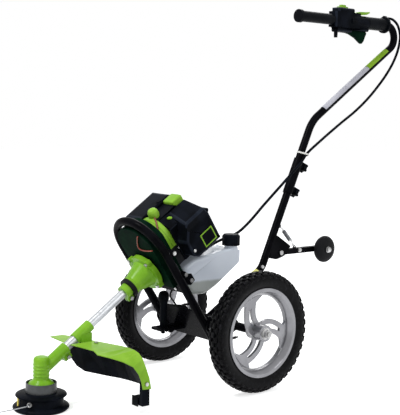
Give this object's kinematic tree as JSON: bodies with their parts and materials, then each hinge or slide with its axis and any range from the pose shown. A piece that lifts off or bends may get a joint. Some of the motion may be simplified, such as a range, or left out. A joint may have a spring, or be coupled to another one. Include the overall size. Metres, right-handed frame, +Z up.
{
  "type": "wheeled string trimmer",
  "caption": "Walk-behind string trimmer: a petrol engine in a leaning hoop on big road wheels, a sloping drive tube to a line head with a side guard, and a hooked post with throttle grip.",
  "frame": {"origin": "on the ground, at the middle of the overall box without the free cutting line", "axes": "+Z up; the line head points along -Y and the handle grip lies towards +Y; +X is the left side as the machine drives forward, where the guard and the air filter are"},
  "size_m": [0.556, 1.6381, 1.194],
  "materials": {
    "black_paint": "gloss black paint on steel tube",
    "steel": "zinc plated steel",
    "cast_alloy": "as cast aluminium",
    "tube_alloy": "polished aluminium tube",
    "lime": "lime green moulded plastic",
    "lime_alloy": "lime green painted casting",
    "black_plastic": "black moulded plastic",
    "dark_green": "very dark green moulded plastic",
    "rim_grey": "silver grey moulded rim",
    "tyre": "black tyre rubber",
    "rubber": "black soft rubber",
    "tank_white": "milky translucent plastic",
    "line": "grey nylon line",
    "tie": "pale nylon"
  },
  "bodies": {
    "chassis": {"hub_bearings": "steel", "axle_shaft": "steel", "axle_tube": "black_paint", "frame_hoop": "black_paint", "lower_post": "black_paint", "post_sleeve": "black_paint", "handle_tube": "black_paint", "arm_spring": "steel", "drive_tube": "tube_alloy", "shaft_bearings": "steel", "gear_case": "lime_alloy", "guard_shell": "lime", "guard_skirt": "black_plastic", "guard_clamp": "lime_alloy", "cutter": "black_plastic", "tube_collar": "lime_alloy", "bell_ring": "rubber", "bell_housing": "lime_alloy", "bolts": "steel", "fan_case": "dark_green", "engine_block": "cast_alloy", "cylinder_cowl": "lime", "plug_boot": "lime", "muffler": "steel", "muffler_cover": "black_plastic", "carburettor": "cast_alloy", "filter_base": "black_plastic", "filter_cover": "black_plastic", "starter_case": "black_plastic", "fuel_tank": "tank_white", "throttle_cable": "black_plastic", "cable_tie": "tie", "small_lines": "rubber", "grips": "rubber", "throttle_body": "black_plastic"},
    "wheel_left": {"tyre_left": "tyre", "rim_left": "rim_grey"},
    "wheel_right": {"tyre_right": "tyre", "rim_right": "rim_grey"},
    "clamp_knob": {"clamp_knob": "black_plastic"},
    "knob_low": {"knob_low": "black_plastic"},
    "knob_high": {"knob_high": "black_plastic"},
    "support_arm": {"support_arm": "black_paint"},
    "support_wheel": {"prop_wheel": "rubber"},
    "drive": {"drive_shaft": "steel", "clutch_drum": "steel"},
    "head": {"spindle": "steel", "drive_cup": "steel", "spool_body": "black_plastic", "spool_cover": "black_plastic", "eyelets": "steel", "cutting_line": "line"},
    "bump_knob": {"bump_knob": "black_plastic"},
    "crank": {"crank_rotor": "cast_alloy"},
    "starter_handle": {"starter_handle": "black_plastic"},
    "fuel_cap": {"fuel_cap": "black_plastic"},
    "trigger": {"trigger": "dark_green"},
    "lock_lever": {"lock_lever": "lime"},
    "stop_switch": {"stop_switch": "lime"},
    "speed_lever": {"speed_lever": "black_plastic"}
  },
  "joints": [
    {"name": "wheel_left_spin", "type": "hinge", "parent": "chassis", "child": "wheel_left", "pos_m": [0.23, -0.09875, 0.181], "axis": [1, 0, 0], "continuous": true},
    {"name": "wheel_right_spin", "type": "hinge", "parent": "chassis", "child": "wheel_right", "pos_m": [-0.23, -0.09875, 0.181], "axis": [1, 0, 0], "continuous": true},
    {"name": "clamp_knob_turn", "type": "hinge", "parent": "chassis", "child": "clamp_knob", "pos_m": [-0.035, -0.24875, 0.2], "axis": [0, 0, 1], "continuous": true},
    {"name": "knob_low_turn", "type": "hinge", "parent": "chassis", "child": "knob_low", "pos_m": [0, 0.24097, 0.57586], "axis": [0, 0.9128, -0.4083], "continuous": true},
    {"name": "knob_high_turn", "type": "hinge", "parent": "chassis", "child": "knob_high", "pos_m": [0, 0.27731, 0.6571], "axis": [0, 0.9128, -0.4083], "continuous": true},
    {"name": "arm_swing", "type": "hinge", "parent": "chassis", "child": "support_arm", "pos_m": [0, 0.20025, 0.367], "axis": [1, 0, 0], "range_deg": [-75, 0], "stiffness_Nm_per_rad": 1, "springref_deg": 114.59, "deforming": ["arm_spring"]},
    {"name": "support_wheel_spin", "type": "hinge", "parent": "support_arm", "child": "support_wheel", "pos_m": [0.028, 0.39325, 0.367], "axis": [1, 0, 0], "continuous": true},
    {"name": "head_spin", "type": "hinge", "parent": "chassis", "child": "head", "pos_m": [0, -0.69975, 0.05], "axis": [0, 0, 1], "continuous": true},
    {"name": "drive_spin", "type": "hinge", "parent": "chassis", "child": "drive", "pos_m": [0, -0.506, 0.23944], "axis": [0, 0.8241, 0.5664], "continuous": true},
    {"name": "bump_press", "type": "slide", "parent": "head", "child": "bump_knob", "axis": [0, 0, 1], "range_m": [0, 0.006], "stiffness_N_per_m": 600, "springref_m": -0.004},
    {"name": "crank_spin", "type": "hinge", "parent": "chassis", "child": "crank", "pos_m": [0, -0.29172, 0.38671], "axis": [0, 0.8241, 0.5664], "continuous": true},
    {"name": "starter_pull", "type": "slide", "parent": "chassis", "child": "starter_handle", "axis": [0, 0.8241, 0.5664], "range_m": [0, 0.25], "stiffness_N_per_m": 20, "springref_m": -0.2},
    {"name": "fuel_cap_turn", "type": "hinge", "parent": "chassis", "child": "fuel_cap", "pos_m": [0.035, -0.04175, 0.43], "axis": [0, 0, 1], "continuous": true},
    {"name": "trigger_pull", "type": "hinge", "parent": "chassis", "child": "trigger", "pos_m": [0, 0.47325, 1.109], "axis": [1, 0, 0], "range_deg": [0, 7], "stiffness_Nm_per_rad": 0.5, "springref_deg": -17.19},
    {"name": "lock_press", "type": "hinge", "parent": "chassis", "child": "lock_lever", "pos_m": [0, 0.53325, 1.1665], "axis": [1, 0, 0], "range_deg": [-4, 0], "stiffness_Nm_per_rad": 0.3, "springref_deg": 17.19},
    {"name": "stop_slide", "type": "slide", "parent": "chassis", "child": "stop_switch", "axis": [0, 1, 0], "range_m": [0, 0.006]},
    {"name": "speed_turn", "type": "hinge", "parent": "chassis", "child": "speed_lever", "pos_m": [0, 0.44225, 1.109], "axis": [1, 0, 0], "range_deg": [-15, 15]}
  ],
  "couplings": [
    {"joint": "drive_spin", "follows": "head_spin", "ratio": -1.3571}
  ]
}
